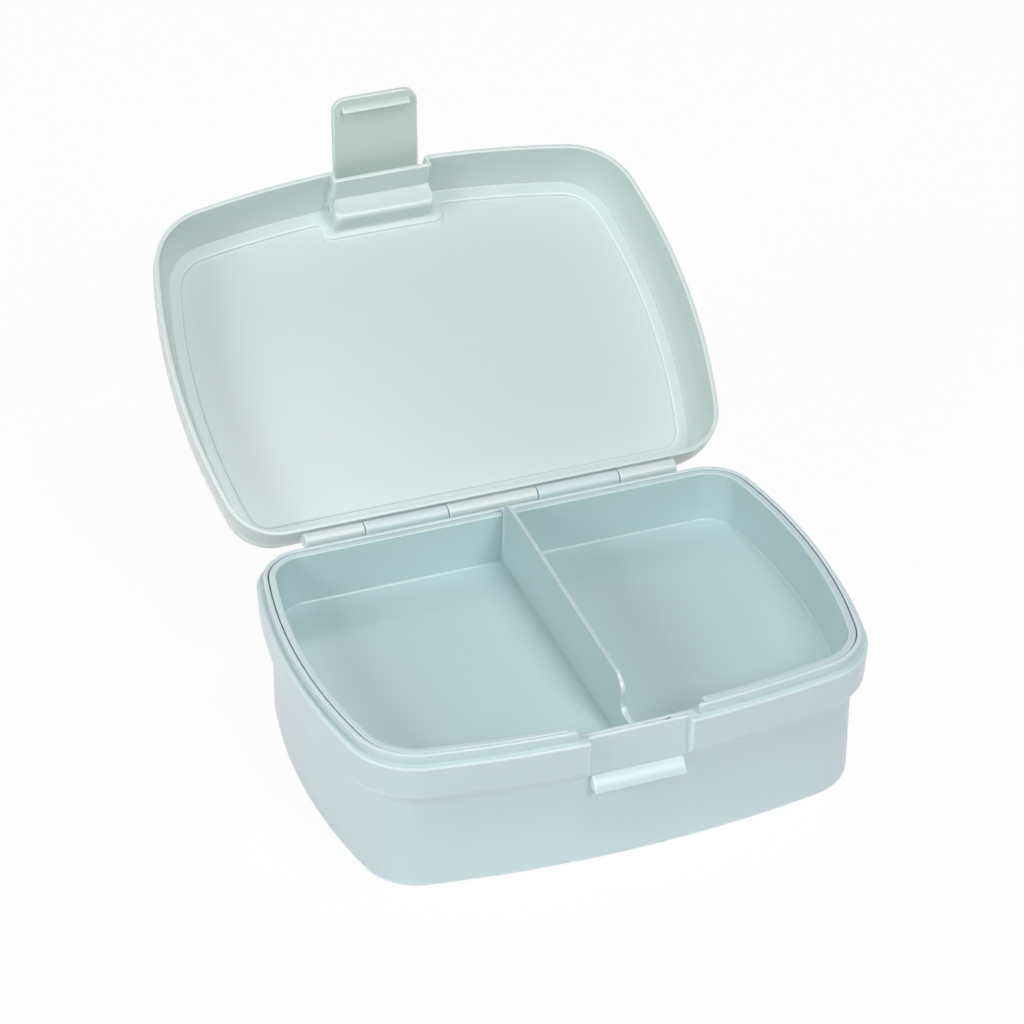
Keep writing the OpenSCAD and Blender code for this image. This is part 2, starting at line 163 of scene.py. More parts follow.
# %% The arcs of the outline
front_r = 376.0
side_r = 197.0
side_crown_y = 6.0
front_corner_r = 23.0
back_corner_r = 17.0

front_centre = Vector((0, front_y + front_r, 0))
side_centre = Vector((body_w / 2 - side_r, side_crown_y, 0))


def corner_centre(first, first_r, second, second_r, corner_r):
    """The centre of a corner that lies inside two larger arcs and touches both."""
    a, b = first_r - corner_r, second_r - corner_r
    between = second - first
    apart = between.length
    between.normalize()
    along = (a * a - b * b + apart * apart) / (2 * apart)
    out = math.sqrt(a * a - along * along)
    return first + between * along + Vector((-between.y, between.x, 0)) * out


def heading(centre, point):
    return math.atan2(point.y - centre.y, point.x - centre.x)


front_corner = corner_centre(front_centre, front_r, side_centre, side_r, front_corner_r)
back_corner_y = back_y - back_corner_r
back_corner_out = math.sqrt((side_r - back_corner_r) ** 2 - (back_corner_y - side_crown_y) ** 2)
back_corner = Vector((side_centre.x + back_corner_out, back_corner_y, 0))

# Each arc is its centre, its radius, the headings that it runs between, and its steps.
arcs = [
    (front_centre, front_r, -math.pi / 2, heading(front_centre, front_corner), 24),
    (front_corner, front_corner_r, heading(front_centre, front_corner),
     heading(side_centre, front_corner), 18),
    (side_centre, side_r, heading(side_centre, front_corner),
     heading(side_centre, back_corner), 26),
    (back_corner, back_corner_r, heading(side_centre, back_corner), math.pi / 2, 18),
]
print("half the outline:", len(arcs), "arcs in", sum(arc[-1] for arc in arcs), "steps")

# %% Which way is in, at each point of the outline
def straight_in(point):
    """The direction straight in from the outline, at a point on it."""
    right = Vector((abs(point.x), point.y, 0))
    direction = Vector((0, -1, 0))
    for centre, radius, start, end, steps in arcs:
        on_arc = abs((right - centre).length - radius) < 0.05
        if on_arc and start - 0.001 < heading(centre, right) < end + 0.001:
            direction = (centre - right).normalized()
            break
    if point.x < 0:
        direction.x = -direction.x
    return direction


inwards = straight_in(Vector((0, front_y, 0)))
print("in from the middle of the front is", [round(value, 3) for value in inwards])

# %% Draw the outline
# The front changes shape beside the latch, so the outline has many more vertices there.
FINE_FROM, FINE_TO, FINE_STEP = 13.2, 24.4, 0.16
FINE_Y = -50.0      # and they are cut only into the edges in front of this
SLIVER = 0.06       # vertices closer than this are merged, so that no face is a sliver


def verts_in(geom):
    """The vertices among what an operator returned."""
    return [part for part in geom if isinstance(part, bmesh.types.BMVert)]


def draw_outline(bm):
    """Draws the closed outline at z = 0. Returns its edges."""
    tip = [bm.verts.new((0, front_y, 0))]
    for centre, radius, start, end, steps in arcs:
        spun = bmesh.ops.spin(bm, geom=tip, cent=centre, axis=(0, 0, 1), dvec=(0, 0, 0),
                              angle=end - start, steps=steps, use_duplicate=False)
        tip = verts_in(spun["geom_last"])
    middle = bmesh.ops.extrude_vert_indiv(bm, verts=tip)["verts"]
    middle[0].co = (0, back_y, 0)
    bmesh.ops.mirror(bm, geom=bm.verts[:] + bm.edges[:], axis="X", merge_dist=0.001)
    bmesh.ops.remove_doubles(bm, verts=bm.verts[:], dist=0.001)
    columns = int((FINE_TO - FINE_FROM) / FINE_STEP)
    for side in (-1, 1):
        for column in range(columns + 1):
            front = [edge for edge in bm.edges
                     if edge.verts[0].co.y < FINE_Y > edge.verts[1].co.y]
            ends = list({vert for edge in front for vert in edge.verts})
            x = side * (FINE_FROM + column * FINE_STEP)
            bmesh.ops.bisect_plane(bm, geom=front + ends, dist=0.002,
                                   plane_co=(x, 0, 0), plane_no=(1, 0, 0))
    bmesh.ops.remove_doubles(bm, verts=bm.verts[:], dist=SLIVER)
    home = bm.verts.layers.float_vector.new("home")
    inward = bm.verts.layers.float_vector.new("inward")
    for vert in bm.verts:
        vert[home] = vert.co
        vert[inward] = straight_in(vert.co)
    return bm.edges[:]


trial = bmesh.new()
print("the outline has", len(draw_outline(trial)), "edges")
trial.free()

# %% [markdown]
# ## Walls from a profile
#
# A moulded shell is one wall with a rounded section all the way round. Its section is written
# as rows of (inset from the outline, height), and the outline is extruded from row to row:
# up the outside, over the rim and down the inside. At the front the same rows turn
# aside to make room for the latch, so a row can also say where it lies there. That keeps the
# recess, the pocket and the breaks in the rims in one clean mesh with rounded edges, where a
# boolean would leave sharp ones.

# %% Rows, and the turns that they take at the front
class Row:
    """One loop of a shell: its inset and height, and the turns that it takes at the front."""

    def __init__(self, inset, z, *turns, side=0.0):
        self.inset = inset
        self.side = side      # how much further in it lies along the sides
        self.z = z
        self.turns = turns


class Turn:
    """Inside |x| = edge, a row moves back to y and to height z. Either may be left alone."""

    def __init__(self, edge, ease, y=None, z=None, corner=None):
        self.edge = edge
        self.ease = ease      # radius of the rounding where the step begins
        self.corner = ease if corner is None else corner      # and where it ends
        self.y = y
        self.z = z


row = Row(2, 40, Turn(15, 0.6, y=-58))
print("a row at inset", row.inset, "and height", row.z, "with", len(row.turns), "turn")

# %% Quarter rounds and straight lines
def rounded(start, corner, end, steps):
    """Points of a quarter round from start to end, bulging towards the corner."""
    points = []
    for step in range(steps + 1):
        turn = math.pi / 2 * step / steps
        a, b = 1 - math.sin(turn), 1 - math.cos(turn)
        points.append(tuple(c + (s - c) * a + (e - c) * b for s, c, e in zip(start, corner, end)))
    return points


def blend_points(start, end, steps):
    """Points along a straight line, without its ends."""
    shares = [step / (steps + 1) for step in range(1, steps + 1)]
    return [tuple(s + (e - s) * share for s, e in zip(start, end)) for share in shares]


quarter = rounded((2, 0), (0, 0), (0, 2), 2)
print("a quarter round of radius 2:", [tuple(round(value, 2) for value in at) for at in quarter])

# %% How a column of vertices climbs a step
def climb_step(x, turn, depth):
    """Where a column at x lies on a step: its new x, and how much of the step it has taken.

    A third of the columns goes round the step's end, a third along it and a third round its
    beginning. Where the step is shallow, its roundings shrink with it.
    """
    off = x - turn.edge
    share = off / (turn.ease if off > 0 else turn.corner)
    if share >= 1 or depth < 1e-6:
        return x, 0
    if share <= -1:
        return x, 1
    fit = min(1, depth / (turn.ease + turn.corner))
    begin, end = turn.ease * fit, turn.corner * fit
    if share < -1 / 3:
        angle = (share + 1) * 1.5 * math.pi / 2
        new_x = turn.edge - turn.corner * (1 - math.sin(angle))
        taken = depth - end * (1 - math.cos(angle))
    elif share <= 1 / 3:
        new_x = turn.edge
        taken = begin + (depth - begin - end) * (1 - 3 * share) / 2
    else:
        angle = (share - 1 / 3) * 1.5 * math.pi / 2
        new_x = turn.edge + turn.ease * (1 - math.cos(angle))
        taken = begin * (1 - math.sin(angle))
    steepness = min(1, depth / turn.ease)
    return x + (new_x - x) * steepness, taken / depth


new_x, taken = climb_step(15.3, row.turns[0], 3.0)
print("on a step of 3 mm at x = 15, a column at 15.3 goes to", round(new_x, 2),
      "and takes", round(taken, 2), "of the step")

# %% Make a shell from rows
def place(home, inward, row):
    """Where a row's vertex goes, from its home on the outline."""
    spot = home + inward * (row.inset + row.side * inward.x ** 2)
    spot.z = row.z
    if home.y > front_y / 2:
        return spot
    for turn in row.turns:
        side = -1 if spot.x < 0 else 1
        y = spot.y if turn.y is None else max(spot.y, turn.y)
        z = spot.z if turn.z is None else turn.z
        depth = math.hypot(y - spot.y, z - spot.z)
        new_x, taken = climb_step(abs(spot.x), turn, depth)
        spot = Vector((side * new_x, spot.y + (y - spot.y) * taken,
                       spot.z + (z - spot.z) * taken))
    return spot


def make_shell(rows):
    """Extrudes the outline through the rows and closes both ends."""
    bm = bmesh.new()
    ring = draw_outline(bm)
    home = bm.verts.layers.float_vector["home"]
    inward = bm.verts.layers.float_vector["inward"]
    for vert in bm.verts:
        vert.co = place(vert[home], vert[inward], rows[0])
    bmesh.ops.edgeloop_fill(bm, edges=ring)
    for row in rows[1:]:
        made = bmesh.ops.extrude_edge_only(bm, edges=ring)["geom"]
        fresh = set(verts_in(made))
        ring = [part for part in made
                if isinstance(part, bmesh.types.BMEdge) and set(part.verts) <= fresh]
        for vert in fresh:
            vert.co = place(vert[home], vert[inward], row)
    bmesh.ops.edgeloop_fill(bm, edges=ring)
    return bm


trial = make_shell([Row(4, 0), Row(0, 20), Row(2, 20), Row(6, 2)])
print("a plain bowl of four rows has", len(trial.faces), "faces")
trial.free()

# %% [markdown]
# ## From mesh to piece
#
# Every piece ends the same way. Rows that met in one place are merged, the normals are turned
# outwards, and the piece is carried from its closed, millimetre place to its place in the
# frame. A Weighted Normal modifier keeps the flat faces flat beside the small roundings.

# %% Finish a piece
MERGE = 0.004       # rows closer than this have met
LEAST_EDGE = 0.002  # and an edge shorter than this is no edge


def finish_piece(bm, name, body, slot, replaces, carry=Matrix.Identity(4)):
    """Cleans a mesh, carries it to its place at rest, and makes it a piece of the object."""
    bmesh.ops.remove_doubles(bm, verts=bm.verts[:], dist=MERGE)
    bmesh.ops.dissolve_degenerate(bm, edges=bm.edges[:], dist=LEAST_EDGE)
    bmesh.ops.recalc_face_normals(bm, faces=bm.faces[:])
    bmesh.ops.transform(bm, matrix=Matrix.Scale(MM, 4) @ carry, verts=bm.verts[:])
    for face in bm.faces:
        face.smooth = True
    loose = sum(1 for edge in bm.edges if len(edge.link_faces) != 2)
    mesh = bpy.data.meshes.new(name)
    bm.to_mesh(mesh)
    bm.free()
    piece = bpy.data.objects.new(name, mesh)
    bpy.context.scene.collection.objects.link(piece)
    flat = piece.modifiers.new("keep flat faces flat", "WEIGHTED_NORMAL")
    flat.weight = 50
    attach(piece, body)
    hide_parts(*replaces)
    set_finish(piece, slot)
    size = [round(length / MM, 1) for length in piece.dimensions]
    print(f"{name}: {len(mesh.polygons)} faces, {size} mm, {loose} open edges")


print("rows merge within", MERGE, "mm")

# %% [markdown]
# ## The base
#
# The base is a deep tub. A band stands out round its upper half, and above the band's shoulder
# a thin neck goes up into the lid. At the front the band is sunk into a flat recess for the
# latch, and the neck is broken there. Inside, a small seat carries the tray's rim.

# %% Sizes of the base
band_step = 4.4                     # how far the band stands out from the wall below it
band_lean = 0.6                     # its draft, which lets the mould part
band_curve_h = 6.5
band_mid = base_h - 13.4
foot_r = 2.4
shoulder_r = 0.7
neck_inset = 2.1                    # from the outline to the neck
neck_t = 1.4
neck_top = base_h + 3.4
neck_inner = neck_inset + neck_t
rim_r = 0.45                        # on the edges of every rim
base_floor = 2.0
lower_inner = band_step + 1.8
tray_top = neck_top - 0.2
seat_z = tray_top - 2.6             # the ledge that the tray's rim stands on
seat_inner = neck_inner + 1.0
curve_low = band_mid - band_curve_h / 2
curve_high = band_mid + band_curve_h / 2
print("the band curves out from", round(curve_low, 2), "to", round(curve_high, 2),
      "mm, and the tray's seat is at", round(seat_z, 2))

# %% Sizes of the recess for the latch
recess_y = front_y + 3.2
recess_half = 15.6
recess_wall = 1.4
recess_inner = recess_y + recess_wall
pad_half = recess_half + recess_wall
break_half = pad_half + 2.0
print("the recess is", 2 * recess_half, "mm wide, and the neck's break", 2 * break_half)

# %% The rows of the base, from under the floor to the floor inside
def band_inset(share):
    return band_lean + (band_step - band_lean) * (1 + math.cos(math.pi * share)) / 2


def recess(inset=0.0):
    return Turn(recess_half + 0.3, 0.6, y=recess_y + inset, corner=0.3)


def neck_break():
    return Turn(break_half, 1.3, z=base_h, corner=0.3)


pad = Turn(pad_half, 0.4, y=recess_inner)      # the back of the recess, seen from inside
base_rows = [Row(inset, z) for inset, z in
             rounded((band_step + foot_r, 0), (band_step, 0), (band_step, foot_r), 8)]
base_rows += [Row(band_step, z) for z in (foot_r + 0.3, 12, 22, curve_low - 0.5)]
print("the wall below the band:", len(base_rows), "rows")

# %% The band, and the shoulder on top of it
for share in [step / 24 for step in range(25)]:
    base_rows.append(Row(band_inset(share), curve_low + band_curve_h * share, recess()))
for z in (curve_high + 1, 43, 45.5, base_h - shoulder_r - 0.3):
    lean = band_lean * (base_h - z) / (base_h - curve_high)
    base_rows.append(Row(lean, z, recess()))
for inset, z in rounded((0, base_h - shoulder_r), (0, base_h), (shoulder_r, base_h), 6):
    base_rows.append(Row(inset, z, recess(inset)))
for inset in (1.4, neck_inset - 0.25):
    base_rows.append(Row(inset, base_h, recess(shoulder_r)))
print("with the band and the shoulder:", len(base_rows), "rows")

# %% The neck, and its break behind the recess
neck = rounded((neck_inset - 0.15, base_h), (neck_inset, base_h),
               (neck_inset, base_h + 0.15), 3)
neck += [(neck_inset, base_h + 1.5)]
neck += rounded((neck_inset, neck_top - rim_r), (neck_inset, neck_top),
                (neck_inset + rim_r, neck_top), 5)
neck += rounded((neck_inner - rim_r, neck_top), (neck_inner, neck_top),
                (neck_inner, neck_top - rim_r), 5)
for inset, z in neck:
    base_rows.append(Row(inset, z, neck_break(), recess(shoulder_r)))
print("with the neck:", len(base_rows), "rows")

# %% The tray's seat, and down the inside to the floor
for inset, z in [(neck_inner, seat_z), (neck_inner + 0.3, seat_z), (seat_inner - 0.2, seat_z)]:
    base_rows.append(Row(inset, z, neck_break(), pad))
for z in (base_h - 0.1, 44, curve_high):
    lean = band_lean * (seat_z - z) / (seat_z - curve_high)
    base_rows.append(Row(seat_inner + lean, z, pad))
for share in [step / 10 for step in range(9, -1, -1)]:
    swing = (1 + math.cos(math.pi * share)) / 2
    inset = seat_inner + band_lean + (lower_inner - seat_inner - band_lean) * swing
    base_rows.append(Row(inset, curve_low + band_curve_h * share, pad))
base_rows += [Row(lower_inner, z) for z in (22, 12)]
base_rows += [Row(inset, z) for inset, z in
              rounded((lower_inner, base_floor + foot_r), (lower_inner, base_floor),
                      (lower_inner + foot_r, base_floor), 8)]

finish_piece(make_shell(base_rows), "base_moulding", "base", "base_plastic", ["base_shell"])

# %% [markdown]
# ## Small blocks
#
# The catch, the knuckles and the latch are prisms: one outline drawn in the YZ plane and
# extruded along X. The outline is a chain of vertices, with its round stretches spun.

# %% Draw a chain of points and spins
def draw_chain(bm, moves):
    """Moves are points (y, z), or spins ("spin", centre, degrees, steps). Returns the face."""
    tip = None
    for move in moves:
        if move[0] == "spin":
            _, centre, degrees, steps = move
            spun = bmesh.ops.spin(bm, geom=[tip], cent=(0, *centre), axis=(1, 0, 0),
                                  dvec=(0, 0, 0), angle=math.radians(degrees), steps=steps,
                                  use_duplicate=False)
            tip = verts_in(spun["geom_last"])[0]
        elif tip is None:
            tip = bm.verts.new((0, *move))
        else:
            tip = bmesh.ops.extrude_vert_indiv(bm, verts=[tip])["verts"][0]
            tip.co = (0, *move)
    bmesh.ops.remove_doubles(bm, verts=bm.verts[:], dist=0.002)
    ends = [vert for vert in bm.verts if len(vert.link_edges) == 1]
    if ends:
        bm.edges.new(ends)
    return bmesh.ops.contextual_create(bm, geom=bm.edges[:])["faces"]


trial = bmesh.new()
draw_chain(trial, [(3, 0), ("spin", (0, 0), 180, 12)])
print("a half disc has", len(trial.verts), "vertices in", len(trial.faces), "face")
trial.free()

# %% Round, cut, inset and join
# The painted highlight on the plastic's edges is worked out vertex by vertex, so a wide face
# would carry it right across. A face of more than WIDE square mm is inset by TIGHT to stop that.
WIDE, TIGHT = 25.0, 0.15


def round_edges(bm, edges, radius, segments):
    bmesh.ops.bevel(bm, geom=edges, offset=radius, offset_type="OFFSET", segments=segments,
                    profile=0.5, affect="EDGES", clamp_overlap=True, material=-1)


def cut(bm, at, normal):
    """Cuts a line into every face that a plane crosses."""
    bmesh.ops.bisect_plane(bm, geom=bm.verts[:] + bm.edges[:] + bm.faces[:], dist=0.001,
                           plane_co=at, plane_no=normal)


def keep_edges_tight(bm):
    """Insets the wide flat faces twice, so that what happens at their edges stays there."""
    for ring in range(2):
        wide = [face for face in bm.faces if face.calc_area() > WIDE]
        bmesh.ops.inset_individual(bm, faces=wide, thickness=TIGHT, use_even_offset=True)


def join(bm, other):
    """Adds another bmesh to this one."""
    mesh = bpy.data.meshes.new("joined")
    other.to_mesh(mesh)
    other.free()
    bm.from_mesh(mesh)
    bpy.data.meshes.remove(mesh)


trial = bmesh.new()
bmesh.ops.create_grid(trial, x_segments=1, y_segments=1, size=10)
keep_edges_tight(trial)
print("a face of 20 by 20 mm becomes", len(trial.faces), "faces")
trial.free()

# %% Extrude a chain along X
END_CUT = 0.8           # a prism is cut this far from its ends, for the same reason


def make_prism(moves, low_x, high_x, bevel=0.0, edges="ends"):
    """A prism between two x, with its end edges or all its sharp edges rounded."""
    bm = bmesh.new()
    faces = draw_chain(bm, moves)
    bmesh.ops.translate(bm, verts=bm.verts[:], vec=(low_x, 0, 0))
    made = bmesh.ops.extrude_face_region(bm, geom=faces, use_keep_orig=True)["geom"]
    bmesh.ops.translate(bm, verts=verts_in(made), vec=(high_x - low_x, 0, 0))
    bmesh.ops.recalc_face_normals(bm, faces=bm.faces[:])
    if bevel:
        bm.normal_update()
        chosen = []
        for edge in bm.edges:
            at_end = any(abs(face.normal.x) > 0.99 for face in edge.link_faces)
            sharp = edge.calc_face_angle(0) > math.radians(25)
            if sharp and (edges == "all" or at_end):
                chosen.append(edge)
        round_edges(bm, chosen, bevel, 3)
    for x in (low_x + END_CUT, high_x - END_CUT):
        cut(bm, (x, 0, 0), (1, 0, 0))
    return bm


trial = make_prism([(0, 0), (4, 0), (4, 4), (0, 4)], -5, 5, bevel=0.5, edges="all")
print("a small block with round edges has", len(trial.faces), "faces")
trial.free()

# %% [markdown]
# ## How the latch closes
#
# Closed, the latch hangs from its pin, leans against the wall of the lid's pocket and hooks
# under a catch on the base. Its lean follows from the pin's place and that wall, and the
# catch goes where the hook ends up. Working it out this way keeps the two together.

# %% The latch's lean when it is closed, and the pocket's wall behind it
latch_w = 29.0
latch_len = 38.2
latch_t = 2.0
latch_offset = 1.0      # from the pin's axis to the latch's inner face
latch_gap = 0.4         # between the latch and the pocket's wall
hook_h = 2.1
hook_end = 3.0          # the hook stops this far from the latch's two edges
hook_room = 0.3         # between the closed hook and the catch
rim_z = base_h + 0.25   # the lid's rim

pin_to_wall = latch_pin_at.y - recess_y
pin_up = latch_pin_at.z - rim_z
latch_lean = (math.acos((latch_offset - latch_gap) / math.hypot(pin_to_wall, pin_up))
              - math.atan2(pin_up, pin_to_wall))


def pocket_wall_y(z):
    """Where the wall behind the closed latch is, at a height."""
    return (latch_pin_at.y - (latch_offset - latch_gap) / math.cos(latch_lean)
            + (z - latch_pin_at.z) * math.tan(latch_lean))


print("the closed latch leans out by", round(math.degrees(latch_lean), 2), "degrees")

# %% The catch under the recess
catch_h = 4.5
catch_cover = 0.8       # how far it stands out over the hook
catch_lip = 0.5
catch_bow = 0.3
catch_edge_r = 0.25
catch_root = front_y + band_step + 0.9

recess_swing = 2 * (recess_y - front_y - band_lean) / (band_step - band_lean) - 1
recess_foot = curve_low + band_curve_h * math.acos(recess_swing) / math.pi
catch_z = recess_foot - catch_h
hook_s = ((latch_pin_at.z + latch_offset * math.sin(latch_lean) - catch_z + hook_room)
          / math.cos(latch_lean))
hook_tip_y = (latch_pin_at.y - (latch_offset - hook_h) * math.cos(latch_lean)
              - hook_s * math.sin(latch_lean))
catch_y = hook_tip_y - catch_cover


def bowed(start, end, sag, steps=8):
    """A spin from start to end. It bows into the solid by sag, or out if sag is negative."""
    (y0, z0), (y1, z1) = start, end
    chord = math.hypot(y1 - y0, z1 - z0)
    radius = chord * chord / (8 * sag) + sag / 2
    out = (radius - sag) / chord
    centre = ((y0 + y1) / 2 + (z1 - z0) * out, (z0 + z1) / 2 - (y1 - y0) * out)
    return "spin", centre, -math.degrees(2 * math.asin(chord / (2 * radius))), steps


catch_ramp = (recess_y - 0.05, recess_foot), (catch_y, catch_z + catch_lip)
catch = make_prism(
    [(catch_root, recess_foot), catch_ramp[0], bowed(*catch_ramp, -catch_bow),
     (catch_y, catch_z), (catch_root, catch_z)],
    -latch_w / 2, latch_w / 2, bevel=catch_edge_r, edges="all")
finish_piece(catch, "latch_catch", "base", "base_plastic", ["base_shell"])

# %% [markdown]
# ## The tray
#
# The tray hangs in the neck by its rim. Its front is lowered and cut back where the recess
# is. It is a shell like the base, so the same rows and turns make it, from under its floor up
# over the rim and down to the floor inside.

# %% Sizes of the tray
tray_gap = 0.35         # its play in the neck
tray_rim = neck_inner + tray_gap
tray_rim_w = 2.3
tray_skin = seat_inner + tray_gap
tray_foot = lower_inner + tray_gap
tray_z = tray_top - 18.0
tray_floor = tray_z + 1.5
tray_wall = 1.3
tray_fillet = 0.8
notch_half = break_half + 2.4
notch_y = recess_inner + tray_gap
notch_drop = tray_top - (base_h - 0.1)
tray_inner = tray_rim + tray_rim_w
wall_high = (tray_inner, tray_top - rim_r)
wall_low = (tray_foot + tray_wall, tray_floor + tray_fillet)
print("the tray is", round(tray_top - tray_z, 2), "mm high, and its rim", tray_rim_w, "mm wide")

# %% The rows of the tray, from under its floor to its floor
def tray_notch(inset=None, z=None):
    y = notch_y if inset is None else notch_y + inset - tray_rim
    return Turn(notch_half, 0.5, y=y, z=None if z is None else z - notch_drop)


tray_rows = [Row(inset, z) for inset, z in
             rounded((tray_foot + 1, tray_z), (tray_foot, tray_z), (tray_foot, tray_z + 1), 5)]
skin_low, skin_high = (tray_foot, tray_z + 1), (tray_skin, seat_z - 0.15)
for inset, z in blend_points(skin_low, skin_high, 5):
    tray_rows.append(Row(inset, z, tray_notch()))
tray_rows.append(Row(tray_skin, seat_z, tray_notch(z=seat_z)))
tray_rows.append(Row(tray_rim + 0.2, seat_z, tray_notch(z=seat_z)))
rim_side = rounded((tray_rim + 0.15, seat_z), (tray_rim, seat_z), (tray_rim, seat_z + 0.15), 2)
rim_side += rounded((tray_rim, tray_top - rim_r), (tray_rim, tray_top),
                    (tray_rim + rim_r, tray_top), 5)
for inset, z in rim_side:
    tray_rows.append(Row(inset, z, tray_notch(inset, z)))
for inset, z in rounded((tray_inner - rim_r, tray_top), (tray_inner, tray_top),
                        (tray_inner, tray_top - rim_r), 5):
    tray_rows.append(Row(inset, z, Turn(notch_half, 0.5, z=z - notch_drop)))
floor_edge = rounded(wall_low, (wall_low[0], tray_floor),
                     (wall_low[0] + tray_fillet, tray_floor), 8)
for inset, z in blend_points((tray_inner + 0.4, 46.5), wall_low, 4) + floor_edge:
    tray_rows.append(Row(inset, z))
tray_bm = make_shell(tray_rows)
print("the tray's shell:", len(tray_rows), "rows,", len(tray_bm.faces), "faces")

# %% [markdown]
# ## The divider
#
# The divider is part of the tray's moulding. It stands a little right of the middle, rises
# over the rim at the back, and drops in front. It meets the floor and the walls in a small
# fillet, as every inside corner of a food box does to be easy to clean. A fillet between two
# meshes needs a boolean and a bevel, which often fail, so the divider is cut into thin strips
# there, and each strip is made wider along the fillet's arc.

# %% The outline of the divider, seen from the side
divider_x = 1.2
divider_t = 1.15
divider_draft = 0.55    # how much thicker it is at its foot, on each side
divider_top = tray_top + 3.2
divider_low = divider_top - 11.0
divider_foot = tray_floor - 0.75
step_y = front_y + 18.0
step_r = 6.0
toe_r = 2.5
divider_peak = divider_top + 2.2
hump_r = divider_peak - tray_top + 0.1
foot_middle = tray_foot + tray_wall / 2
rim_middle = tray_inner - tray_wall / 2
divider_back = back_y - rim_middle


def wall_middle(z):
    """The inset of the middle of the tray's wall, at a height."""
    share = (z - divider_foot) / (tray_top - divider_foot)
    return foot_middle + (rim_middle - foot_middle) * share


divider_front = front_y + wall_middle(divider_low)
divider_moves = [
    (front_y + foot_middle, divider_foot),
    (divider_front, divider_low),
    (step_y - toe_r, divider_low),
    ("spin", (step_y - toe_r, divider_low + toe_r), 90, 8),
    (step_y, divider_top - step_r),
    ("spin", (step_y + step_r, divider_top - step_r), -90, 18),
    (divider_back - hump_r, divider_peak),
    ("spin", (divider_back - hump_r, divider_peak - hump_r), -90, 14),
    (back_y - foot_middle, divider_foot),
]
print("the divider is", round(divider_back - divider_front, 1), "mm long and",
      round(divider_peak - divider_foot, 1), "mm high")

# %% Give it thickness, a taper, and fillets where it meets the tray
divider_bm = make_prism(divider_moves, -1, 1)


def half_thickness(z):
    return divider_t / 2 + divider_draft * (divider_top - z) / (divider_top - divider_foot)


def flare(distance, radius):
    """How much wider the divider is, close to a surface that it runs into."""
    if distance >= radius:
        return 0
    near = radius - max(distance, 0)
    return radius - math.sqrt(radius * radius - near * near)


def tray_wall_inner(z):
    """The inset of the tray's inner wall, at a height."""
    low_inset, low_z = wall_low
    high_inset, high_z = wall_high
    return low_inset + (high_inset - low_inset) * (z - low_z) / (high_z - low_z)


wall_tilt = math.atan2(wall_low[0] - wall_high[0], wall_high[1] - wall_low[1])
wall_junction_r, floor_junction_r = 1.0, 0.3
strips = 6
for step in range(1, strips + 1):
    share = 1 - math.sin(math.pi / 2 * step / strips)
    cuts = [((0, 0, tray_floor + floor_junction_r * share), (0, 0, 1))]
    for side in (-1, 1):
        y = side * (back_y - tray_wall_inner(tray_floor) - wall_junction_r * share)
        cuts.append(((0, y, tray_floor), (0, side * math.cos(wall_tilt), -math.sin(wall_tilt))))
    for at, normal in cuts:
        cut(divider_bm, at, normal)
for vert in divider_bm.verts:
    side = 1 if vert.co.x > 0 else -1
    to_floor = vert.co.z - tray_floor
    to_wall = back_y - tray_wall_inner(vert.co.z) - abs(vert.co.y)
    wider = flare(to_floor, floor_junction_r)
    if vert.co.z < tray_top:
        wider = max(wider, flare(to_wall, wall_junction_r))
    vert.co.x = side * (half_thickness(vert.co.z) + wider)
print("the divider is", round(2 * half_thickness(divider_top), 2), "mm thick at its top and",
      round(2 * half_thickness(tray_floor), 2), "at the floor")

# %% Round the divider's top edges
divider_edge_r = 0.5
divider_bm.normal_update()
top_edges = []
for edge in divider_bm.edges:
    flat = [face for face in edge.link_faces if abs(face.normal.x) > 0.8]
    rim = [face for face in edge.link_faces if abs(face.normal.x) < 0.2]
    middle_z = (edge.verts[0].co.z + edge.verts[1].co.z) / 2
    if flat and rim and middle_z > divider_low - 0.1:
        top_edges.append(edge)
round_edges(divider_bm, top_edges, divider_edge_r, 5)
keep_edges_tight(divider_bm)
bmesh.ops.translate(divider_bm, verts=divider_bm.verts[:], vec=(divider_x, 0, 0))

finish_piece(tray_bm, "tray_moulding", "tray", "tray_plastic", ["tray_insert"])
finish_piece(divider_bm, "tray_divider", "tray", "tray_plastic", ["tray_insert"])

# %% [markdown]
# ## The lid
#
# The lid is a shallow dome with a flat raised panel. At its front a walled pocket holds the
# latch: from outside it is a deep notch, and from inside a box-shaped bump. Both are rows that
# turn aside, so the notch and the bump are the outside and the inside of one wall.

# %% Sizes of the lid
lid_wall = 1.5
lid_lean = 2.4                  # how far the outside leans in, from the bend to the crown
crown_r = 3.4
panel_rise = 0.8
lid_top = rim_z + 18.5
bend_z = rim_z + 3.5
crown_z = lid_top - panel_rise - crown_r
ceiling_z = lid_top - panel_rise - lid_wall
barrel_r = latch_offset + latch_t
# The chamber is the pocket's upper part, which the latch's barrel turns in. The bump is its
# other side, inside the lid.
chamber_z = latch_pin_at.z - barrel_r - latch_gap
chamber_y = latch_pin_at.y + barrel_r + 2.6
bump_y = chamber_y + recess_wall
bump_z = chamber_z - recess_wall


def wall_lean(z):
    """How far the lid's wall leans in, at a height."""
    share = max(0, (z - bend_z) / (crown_z - bend_z))
    return lid_lean * share * share


def inner_wall_y(z):
    return pocket_wall_y(z) + recess_wall


print("closed, the lid reaches from", round(rim_z, 2), "to", round(lid_top, 2), "mm")

